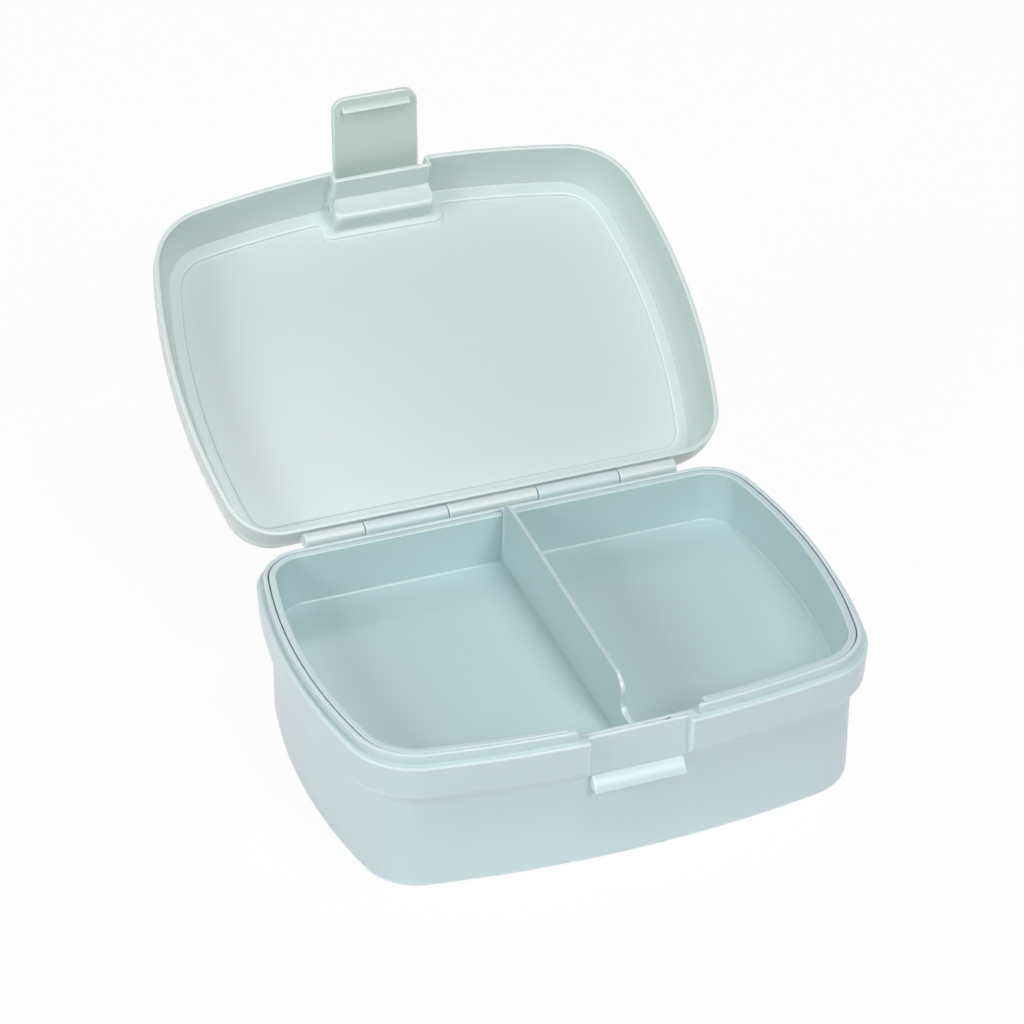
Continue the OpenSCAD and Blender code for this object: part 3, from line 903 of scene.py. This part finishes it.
# %% The edge of the sunk panel in the ceiling
# It runs round the bump, at a distance from it. Its rows are insets and rises.
panel_edge = [(10.6, 1), (10.3, 0.97), (10.08, 0.84), (9.9, 0.5), (9.72, 0.16), (9.5, 0.03),
              (9.2, 0)]
wrap_inset = 9.6
wrap_y = bump_y + 2.4
wrap_half = pad_half + 3.3
wrap_corner = 3.0
lid_rows = [Row(13.2, ceiling_z + panel_rise,
                Turn(wrap_half + 2.5, 1.4, y=wrap_y + 2.5, corner=wrap_corner))]
for inset, rise in panel_edge:
    out = inset - wrap_inset
    turn = Turn(wrap_half + out, 2.0 - out / 2, y=wrap_y + out, corner=wrap_corner + out / 2)
    lid_rows.append(Row(inset, ceiling_z + panel_rise * rise, turn, side=0.4))
print("the panel in the ceiling:", len(lid_rows), "rows")

# %% The foot of the lid's wall, and of the bump
bump_half = pad_half + 0.2   # at the ceiling, with draft down to its free end
bump_draft = 0.6
bump_foot = 1.9              # radius where it meets the ceiling
inner_foot = 0.9             # radius where the wall meets the ceiling
inner_lean = 3.5             # how far the wall leans in by the time it gets there
side_lean = 1.2              # and how much further at the box's two sides
ledge_turn = Turn(bump_half + 2.1, 1.6, bump_y + 2.0, ceiling_z, corner=2.8)
lid_rows.append(Row(8.2, ceiling_z, ledge_turn, side=side_lean / 2))
wall_foot = rounded((lid_wall + inner_lean + inner_foot, ceiling_z),
                    (lid_wall + inner_lean, ceiling_z),
                    (lid_wall + inner_lean, ceiling_z - inner_foot), 8)
back_foot = rounded((bump_y + bump_foot, ceiling_z), (bump_y, ceiling_z),
                    (bump_y, ceiling_z - bump_foot), 8)
for (inset, z), (y, aside_z) in zip(wall_foot, back_foot):
    out = y - bump_y
    turn = Turn(bump_half + out, 1.2, y, aside_z, corner=2.2 + out / 3)
    lid_rows.append(Row(inset, z, turn, side=side_lean))
print("with the foot of the wall:", len(lid_rows), "rows")

# %% Down the lid's wall, and round the bump to its free end
def inner_wall(z):
    """The row of the lid's inner wall at a height: its inset, and how much more at the sides."""
    share = max(0, (z - bend_z) / (ceiling_z - inner_foot - bend_z))
    return lid_wall + inner_lean * share * share, side_lean * share * share


lean_y = inner_wall_y(bump_z)
bump_profile = [(bump_y, z) for z in (61.5, 60.4, 59.3)]
bump_profile += rounded((bump_y, bump_z + 1.6), (bump_y, bump_z), (bump_y - 1.6, bump_z), 7)
bump_profile += [(bump_y - out, bump_z) for out in (2.6, 4.0, 5.4)]
bump_profile += rounded((lean_y + 0.4, bump_z), (lean_y, bump_z),
                        (inner_wall_y(bump_z - 0.4), bump_z - 0.4), 4)
bump_profile += [(inner_wall_y(z), z) for z in (54.8, 52.6, 50.4, 48.8)]
bump_end = 14                # rows to the bump's free end, and then the pocket's wall
wall_from, wall_to = ceiling_z - inner_foot, rim_z + 0.7
for count, (y, z) in enumerate(bump_profile):
    share = (count + 1) / len(bump_profile)
    wall_z = wall_from - (wall_from - wall_to) * share
    inset, more = inner_wall(wall_z)
    down = min(1, count / bump_end)
    half = bump_half - bump_draft * down if count <= bump_end else pad_half - 1 + share
    lid_rows.append(Row(inset, wall_z, Turn(half, 1.1, y, z, corner=2.2 - 0.9 * down),
                        side=more))
print("down to the rim:", len(lid_rows), "rows")

# %% Over the rim
rim_profile = (rounded((lid_wall, rim_z + rim_r), (lid_wall, rim_z), (lid_wall - rim_r, rim_z), 4)
               + [(lid_wall / 2, rim_z)]
               + rounded((rim_r, rim_z), (0, rim_z), (0, rim_z + rim_r), 4))
for inset, z in rim_profile:
    share = inset / lid_wall
    lid_rows.append(Row(inset, z, Turn(recess_half + recess_wall * share, 0.7,
                                       y=pocket_wall_y(z) + recess_wall * share)))
print("over the rim:", len(lid_rows), "rows")

# %% Up the outside of the lid, and up the pocket
notch_ease = 0.6


def paired(normal, aside):
    """Rows that lie at one list of places, and turn aside into the pocket to another."""
    return [Row(inset, z, Turn(recess_half, notch_ease, y, aside_z))
            for (inset, z), (y, aside_z) in zip(normal, aside)]


lid_rows += paired([(0, rim_z + 1), (0, rim_z + 2.2), (0, bend_z)],
                   [(pocket_wall_y(z), z) for z in (50.0, 52.5, 55.0)])
chamber_front = pocket_wall_y(chamber_z)
outer_z = [bend_z + (crown_z - bend_z) * tenth / 10 for tenth in range(1, 10)]
lid_rows += paired(
    [(wall_lean(z), z) for z in outer_z],
    rounded((pocket_wall_y(chamber_z - 0.4), chamber_z - 0.4), (chamber_front, chamber_z),
            (chamber_front + 0.4, chamber_z), 3)
    + [(y, chamber_z) for y in (-54.4, -53.2, -52.0, -50.8, chamber_y - 0.4)])
lid_rows += paired(
    rounded((lid_lean, crown_z), (lid_lean, crown_z + crown_r),
            (lid_lean + crown_r, crown_z + crown_r), 8),
    rounded((chamber_y - 0.3, chamber_z), (chamber_y, chamber_z), (chamber_y, chamber_z + 0.3), 3)
    + [(chamber_y, z) for z in (58.9, 60.2, 61.5, 62.8, 64.0)])
print("up to the crown:", len(lid_rows), "rows")

# %% The edge of the raised panel, and the top of the notch
outer_edge = [(7.6, 0), (9.3, 0), (9.6, 0.03), (9.72, 0.16), (9.82, 0.5), (9.92, 0.84),
              (10.1, 0.97), (10.5, 1)]
notch_z = [64.6, 65.0, 65.2, 65.4, 65.6, 65.8, 66.0, lid_top - 0.3]
lid_rows += paired(
    [(inset, lid_top - panel_rise + panel_rise * rise) for inset, rise in outer_edge],
    [(chamber_y, z) for z in notch_z])
notch_top = rounded((chamber_y, lid_top - 0.3), (chamber_y, lid_top),
                    (chamber_y + 0.3, lid_top), 2)
lid_rows += paired([(10.9, lid_top), (11.3, lid_top)], notch_top[1:])
lid_rows.append(Row(14.0, lid_top))

finish_piece(make_shell(lid_rows), "lid_moulding", "lid", "lid_plastic", ["lid_shell"],
             carry=open_lid)

# %% [markdown]
# ## The hinge
#
# Five knuckles share one steel pin. Two belong to the base and three to the lid. Each is a
# half-round bar that runs into its own wall, so each is a prism. The pin inside them keeps
# its CAD solid, because a plain rod is right as it is.

# %% Make the knuckles
knuckle_r = 2.5
knuckle_gap = 0.5
inner, outer, end = 14.9, 42.9, 62.3    # where they end, from the middle outwards
knuckle_edge_r = 0.35
axis = (hinge_at.y, hinge_at.z)
base_root = back_y - 0.9
lid_root = back_y - lid_wall / 2

base_knuckle = [
    (axis[0] + knuckle_r, axis[1]),
    ("spin", axis, 180, 20),
    (axis[0] - knuckle_r, base_h - 0.4),
    (base_root, base_h - 0.4),
    (base_root, axis[1] - 3 * knuckle_r),
    (back_y, axis[1] - 3 * knuckle_r),
    (axis[0] + knuckle_r, axis[1] - 1.5 * knuckle_r),
]
lid_knuckle = [
    (axis[0] - knuckle_r, axis[1]),
    ("spin", axis, 180 + 52, 26),
    (lid_root, axis[1] + 2.4 * knuckle_r),
    (lid_root, axis[1]),
]
gap = knuckle_gap / 2
for name, low_x, high_x in (("left", -outer + gap, -inner - gap),
                            ("right", inner + gap, outer - gap)):
    knuckle = make_prism(base_knuckle, low_x, high_x, bevel=knuckle_edge_r)
    finish_piece(knuckle, f"base_knuckle_{name}", "base", "base_plastic", ["base_shell"])
for name, low_x, high_x in (("middle", -inner, inner), ("left", -end, -outer),
                            ("right", outer, end)):
    knuckle = make_prism(lid_knuckle, low_x, high_x, bevel=knuckle_edge_r)
    finish_piece(knuckle, f"lid_knuckle_{name}", "lid", "lid_plastic", ["lid_shell"],
                 carry=open_lid)

# %% [markdown]
# ## The latch
#
# The latch is a flat tongue with a barrel at one end and a hook across the other. It is
# modelled hanging straight down from its pin at the origin, and then turned.

# %% The latch's plate
latch_corner_r = 4.5
latch_edge_r = 0.45
SQUARE = 1.2            # radians, which only the plate's own edges turn by
half_w = latch_w / 2
corner_x, corner_z = half_w - latch_corner_r, latch_corner_r - latch_len

latch_bm = bmesh.new()
tip = [latch_bm.verts.new((half_w, 0, 0))]
for centre_x, start in ((corner_x, (half_w, 0, corner_z)),
                        (-corner_x, (-corner_x, 0, -latch_len))):
    tip = bmesh.ops.extrude_vert_indiv(latch_bm, verts=tip)["verts"]
    tip[0].co = start
    spun = bmesh.ops.spin(latch_bm, geom=tip, cent=(centre_x, 0, corner_z), axis=(0, 1, 0),
                          dvec=(0, 0, 0), angle=math.pi / 2, steps=14, use_duplicate=False)
    tip = verts_in(spun["geom_last"])
tip = bmesh.ops.extrude_vert_indiv(latch_bm, verts=tip)["verts"]
tip[0].co = (-half_w, 0, 0)
latch_bm.edges.new([vert for vert in latch_bm.verts if len(vert.link_edges) == 1])
plate = bmesh.ops.contextual_create(latch_bm, geom=latch_bm.edges[:])["faces"]
thick = bmesh.ops.extrude_face_region(latch_bm, geom=plate, use_keep_orig=True)["geom"]
bmesh.ops.translate(latch_bm, vec=(0, -latch_t, 0), verts=verts_in(thick))
bmesh.ops.recalc_face_normals(latch_bm, faces=latch_bm.faces[:])
latch_bm.normal_update()
plate_edges = [edge for edge in latch_bm.edges if edge.calc_face_angle(0) > SQUARE
               and min(vert.co.z for vert in edge.verts) < -0.1]
round_edges(latch_bm, plate_edges, latch_edge_r, 4)
bmesh.ops.translate(latch_bm, verts=latch_bm.verts[:], vec=(0, -latch_offset, 0))
keep_edges_tight(latch_bm)
print("the latch's plate:", len(latch_bm.faces), "faces")

# %% The latch's hook and barrel
hook_lip_r = 0.5
hook_lip_turn = 140     # degrees that the lip turns through, before the hook slopes back
hook_bow = 0.2
hook_edge_r = 0.2
hook_root = -latch_offset - 0.8
hook_foot = -hook_s - 0.9 * hook_h

lip = (hook_h - latch_offset - hook_lip_r, -hook_s - hook_lip_r)
lip_heading = math.radians(90 - hook_lip_turn)
lip_end = (lip[0] + hook_lip_r * math.cos(lip_heading),
           lip[1] + hook_lip_r * math.sin(lip_heading))
hook = make_prism(
    [(hook_root, -hook_s), (lip[0], -hook_s), ("spin", lip, -hook_lip_turn, 12),
     bowed(lip_end, (-latch_offset, hook_foot), hook_bow), (hook_root, hook_foot)],
    -half_w + hook_end, half_w - hook_end, bevel=hook_edge_r, edges="all")
barrel = make_prism([(barrel_r, 0), ("spin", (0, 0), 350, 46)], -half_w, half_w, bevel=0.3)
join(latch_bm, hook)
join(latch_bm, barrel)

hang_latch = (open_lid @ Matrix.Translation(latch_pin_at)
              @ Matrix.Rotation(-latch_lean - latch_open, 4, "X"))
finish_piece(latch_bm, "latch_tongue", "latch", "latch_plastic", ["latch"], carry=hang_latch)

# %% [markdown]
# ## The latch's pin
#
# A short steel rod is pressed through the pocket's two side walls, and the barrel turns on
# it. Only its ends show, as small discs in those walls, so it is made just long enough to
# come through them.

# %% Make the pin
pin_r = 1.0
pin_edge_r = 0.25
pin_reach = bump_half + 0.12
pin = make_prism([(pin_r, 0), ("spin", (0, 0), 348, 29)], -pin_reach, pin_reach,
                 bevel=pin_edge_r)
bmesh.ops.translate(pin, verts=pin.verts[:], vec=latch_pin_at)
finish_piece(pin, "latch_pin_rod", "lid", "pin_steel", ["latch_pin"], carry=open_lid)

# %% [markdown]
# ## Polypropylene
#
# The four mouldings are polypropylene. It is slightly waxy: light goes a little way in and
# comes out again beside where it went in, so shadows are soft. The mould's surface gives each
# piece its finish. The outside was spark-eroded and is satin, and the tray is polished. One
# function makes all four, from a colour, a gloss and a grain. Their thin or rounded edges get
# a painted highlight: Geometry's Pointiness mixes a lighter colour into them, in place of the
# glow and the bright lines that light gives such edges.

# %% Colour and node helpers
def from_hex(code):
    """An sRGB hex colour as the linear values that shaders use."""
    channels = [int(code[i:i + 2], 16) / 255 for i in (1, 3, 5)]
    linear = [c / 12.92 if c <= 0.04045 else ((c + 0.055) / 1.055) ** 2.4 for c in channels]
    return (*linear, 1)


def add_node(tree, kind, inputs=None, **settings):
    """Adds a node. A value that is a socket is linked, and any other value is set."""
    node = tree.nodes.new(kind)
    for name, value in settings.items():
        setattr(node, name, value)
    for name, value in (inputs or {}).items():
        # A node that can work on several kinds of value hides the sockets of the others.
        socket = name if isinstance(name, int) else next(
            index for index, made in enumerate(node.inputs) if made.name == name and made.enabled)
        if isinstance(value, bpy.types.NodeSocket):
            tree.links.new(value, node.inputs[socket])
        else:
            node.inputs[socket].default_value = value
    return node


def bare_tree(owner):
    """Gives a material or a world an empty tree of nodes."""
    owner.use_nodes = True
    owner.node_tree.nodes.clear()
    return owner.node_tree


print("mid grey in linear values:", round(from_hex("#808080")[0], 3))

# %% Polypropylene
POLYPROPYLENE_IOR = 1.49
GLOW_MM = 0.9                   # how far light goes into it
HANDLING_MM = 30.0              # size of the patches that handling leaves duller or glossier
GLOSS_VARIES = 0.02
EDGE_FROM, EDGE_TO = 0.509, 0.525       # Pointiness is 0.5 on a flat face, and more on edges
# A painted highlight: edges take up to this share of a lighter colour.
PAINTED_HIGHLIGHT_SHARE = 0.7


def polypropylene(name, colour, painted_highlight_colour, gloss, grain_mm, grain_depth_mm):
    """Moulded polypropylene, with a fine grain, a few duller patches and painted edge highlights.
    """
    material = bpy.data.materials.new(name)
    tree = bare_tree(material)
    place_on = add_node(tree, "ShaderNodeTexCoord").outputs["Object"]
    handling = add_node(tree, "ShaderNodeTexNoise", {
        "Vector": place_on, "Scale": 1 / (HANDLING_MM * MM), "Detail": 1.0})
    roughness = add_node(tree, "ShaderNodeMapRange", {
        "Value": handling.outputs["Fac"],
        "To Min": gloss - GLOSS_VARIES, "To Max": gloss + GLOSS_VARIES})
    # Painted highlight: Pointiness picks out convex edges, and they are mixed towards a lighter
    # colour.
    bulge = add_node(tree, "ShaderNodeNewGeometry").outputs["Pointiness"]
    painted_edge_mask = add_node(tree, "ShaderNodeMapRange", {
        "Value": bulge, "From Min": EDGE_FROM, "From Max": EDGE_TO,
        "To Min": 0.0, "To Max": PAINTED_HIGHLIGHT_SHARE})
    tint_with_painted_highlight = add_node(tree, "ShaderNodeMix", {
        "Factor": painted_edge_mask.outputs["Result"], "A": from_hex(colour), "B": from_hex(painted_highlight_colour)},
        data_type="RGBA")
    grain = add_node(tree, "ShaderNodeTexNoise", {
        "Vector": place_on, "Scale": 1 / (grain_mm * MM), "Detail": 2.0})
    bump = add_node(tree, "ShaderNodeBump", {
        "Height": grain.outputs["Fac"], "Distance": grain_depth_mm * MM, "Strength": 1.0})
    shader = add_node(tree, "ShaderNodeBsdfPrincipled", {
        "Base Color": tint_with_painted_highlight.outputs[2], "IOR": POLYPROPYLENE_IOR,
        "Subsurface Weight": 0.25, "Subsurface Radius": (1.0, 1.0, 1.0),
        "Subsurface Scale": GLOW_MM * MM,
        "Roughness": roughness.outputs["Result"], "Normal": bump.outputs["Normal"]})
    add_node(tree, "ShaderNodeOutputMaterial", {"Surface": shader.outputs["BSDF"]})
    return material


print("light goes", GLOW_MM, "mm into it")

# %% The four plastics
# A name, a colour, the colour of its painted edge highlight, and then the gloss, and the
# grain's size and depth. The gloss is far enough from 0.27 that its variation doesn't cross
# that value, where the renderer's denoiser begins to treat a surface as rough and would show a
# seam.
finishes = {
    "base_plastic": polypropylene("polypropylene_satin_grey_blue",
                                  "#D1E3E6", "#E6F4F4", 0.31, 0.5, 0.003),
    "lid_plastic": polypropylene("polypropylene_satin_pale_mint",
                                 "#D5E3E0", "#ECF8F4", 0.24, 0.5, 0.003),
    "tray_plastic": polypropylene("polypropylene_polished_grey_blue",
                                  "#C3DADD", "#E2F0F1", 0.18, 0.6, 0.001),
    "latch_plastic": polypropylene("polypropylene_satin_grey_mint",
                                   "#CEDDD8", "#E9F5F1", 0.24, 0.5, 0.003),
}
print("plastics:", [finish.name for finish in finishes.values()])

# %% [markdown]
# ## Steel
#
# The pins are cut from bright drawn wire. Drawing leaves fine scratches along the wire, so a
# noise stretched along X changes the roughness. A bump would show them too, but on a 2 mm
# disc nothing more could be seen.

# %% Drawn steel
def drawn_steel():
    """Bright drawn wire, with its scratches along X."""
    material = bpy.data.materials.new("steel_drawn_bright")
    tree = bare_tree(material)
    place_on = add_node(tree, "ShaderNodeTexCoord").outputs["Object"]
    along = add_node(tree, "ShaderNodeMapping", {
        "Vector": place_on, "Scale": (40.0, 2500.0, 2500.0)})
    drawn = add_node(tree, "ShaderNodeTexNoise", {
        "Vector": along.outputs["Vector"], "Scale": 1.0, "Detail": 2.0})
    roughness = add_node(tree, "ShaderNodeMapRange", {
        "Value": drawn.outputs["Fac"], "To Min": 0.16, "To Max": 0.32})
    shader = add_node(tree, "ShaderNodeBsdfPrincipled", {
        "Base Color": from_hex("#C9CACC"), "Metallic": 1.0,
        "Roughness": roughness.outputs["Result"]})
    add_node(tree, "ShaderNodeOutputMaterial", {"Surface": shader.outputs["BSDF"]})
    return material


finishes["pin_steel"] = drawn_steel()
print("metal:", finishes["pin_steel"].name)

# %% Give every piece its material
slots = {row["node"]: row["material_slot"] for row in frame["record"]["subparts"]}
for piece in bpy.data.objects:
    if piece.type != "MESH":
        continue
    slot = piece.get("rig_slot") or slots.get(piece.name)
    piece.data.materials.clear()
    piece.data.materials.append(finishes[slot])
print("materials:", sorted(finishes))

# %% [markdown]
# ## Floor and air
#
# The box stands on white paper in a white room. A white room that also lit the box would wash
# out its pale colours, so Light Path tells the two apart: the eye, and what it sees in gloss
# or glass, meets a bright floor and air, and the light on the box meets plain paper and dim
# air. A little of the real paper is left in the floor, which keeps the box's shadow.

# %% The floor
FLOOR_BRIGHT = 0.95


def seen_directly(tree, most):
    """A factor that is 0 for the light on the box, and most where the eye sees the studio."""
    rays = add_node(tree, "ShaderNodeLightPath").outputs
    eye = rays["Is Camera Ray"]
    for ray in ("Is Glossy Ray", "Is Transmission Ray"):
        eye = add_node(tree, "ShaderNodeMath", {0: eye, 1: rays[ray]},
                       operation="MAXIMUM").outputs[0]
    return add_node(tree, "ShaderNodeMath", {0: eye, 1: most}, operation="MULTIPLY").outputs[0]


floor_bm = bmesh.new()
bmesh.ops.create_grid(floor_bm, x_segments=1, y_segments=1, size=6.0)
floor_mesh = bpy.data.meshes.new("studio_floor")
floor_bm.to_mesh(floor_mesh)
floor_bm.free()
floor = bpy.data.objects.new("studio_floor", floor_mesh)
bpy.context.scene.collection.objects.link(floor)

floor_paper = bpy.data.materials.new("matt_white_paper")
tree = bare_tree(floor_paper)
paper = add_node(tree, "ShaderNodeBsdfDiffuse", {"Color": from_hex("#FDFDFD")})
backlit = add_node(tree, "ShaderNodeEmission", {"Strength": 1.0})
both = add_node(tree, "ShaderNodeMixShader", {
    "Fac": seen_directly(tree, FLOOR_BRIGHT),
    1: paper.outputs["BSDF"], 2: backlit.outputs["Emission"]})
add_node(tree, "ShaderNodeOutputMaterial", {"Surface": both.outputs["Shader"]})
floor_mesh.materials.append(floor_paper)
floor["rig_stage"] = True
print("the floor is", floor.dimensions.x, "m wide")

# %% The air
world = bpy.data.worlds.new("studio_air")
bpy.context.scene.world = world
tree = bare_tree(world)
white = (1, 1, 1, 1)
lit = add_node(tree, "ShaderNodeBackground", {"Color": white, "Strength": 0.08})
seen = add_node(tree, "ShaderNodeBackground", {"Color": white, "Strength": 1.0})
both = add_node(tree, "ShaderNodeMixShader", {
    "Fac": seen_directly(tree, 1.0),
    1: lit.outputs["Background"], 2: seen.outputs["Background"]})
add_node(tree, "ShaderNodeOutputWorld", {"Surface": both.outputs["Shader"]})
print("world:", world.name)

# %% [markdown]
# ## Lamps
#
# Four soft boxes light the box from the left, the front, above and behind, so that each wall
# has its own level and no shadow is hard. A fifth, small and low at the front left, draws the
# thin bright lines along the rounded edges, which a large lamp would spread out and lose.

# %% Place the lamps
def area_lamp(name, at, aim, size, power, colour=(1, 1, 1)):
    """A square soft box at one point, turned towards another. Both are in metres."""
    lamp = bpy.data.lights.new(name, "AREA")
    lamp.shape = "SQUARE"
    lamp.size = size
    lamp.energy = power
    lamp.color = colour
    holder = bpy.data.objects.new(name, lamp)
    holder.location = at
    holder.rotation_euler = (Vector(aim) - Vector(at)).to_track_quat("-Z", "Y").to_euler()
    bpy.context.scene.collection.objects.link(holder)
    print(f"{name}: {power} W from {size} m")


box_middle = (0, 0.05, 0.05)
area_lamp("key_softbox", (-1.3, -0.3, 0.75), box_middle, 0.5, 8.6)
area_lamp("front_softbox", (0.4, -1.22, 1.06), box_middle, 0.5, 8.7)
area_lamp("top_softbox", (0.2, -0.35, 1.4), box_middle, 0.45, 5.8, (0.95, 0.98, 1.0))
area_lamp("back_softbox", (0.0, 1.3, 1.2), box_middle, 0.8, 3.0)
area_lamp("low_softbox", (-1.0, -1.14, 0.19), (0, 0.05, 0.08), 0.13, 0.9)
bpy.context.scene.view_settings.view_transform = "Standard"

# %% [markdown]
# ## Sizes
#
# The visual model has to be the size of the CAD model, so both boxes are printed.

# %% Note the sizes
for name, (low, high) in (("CAD:", cad_box), ("visual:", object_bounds())):
    print(name, [round((b - a) / MM, 2) for a, b in zip(low, high)], "mm")
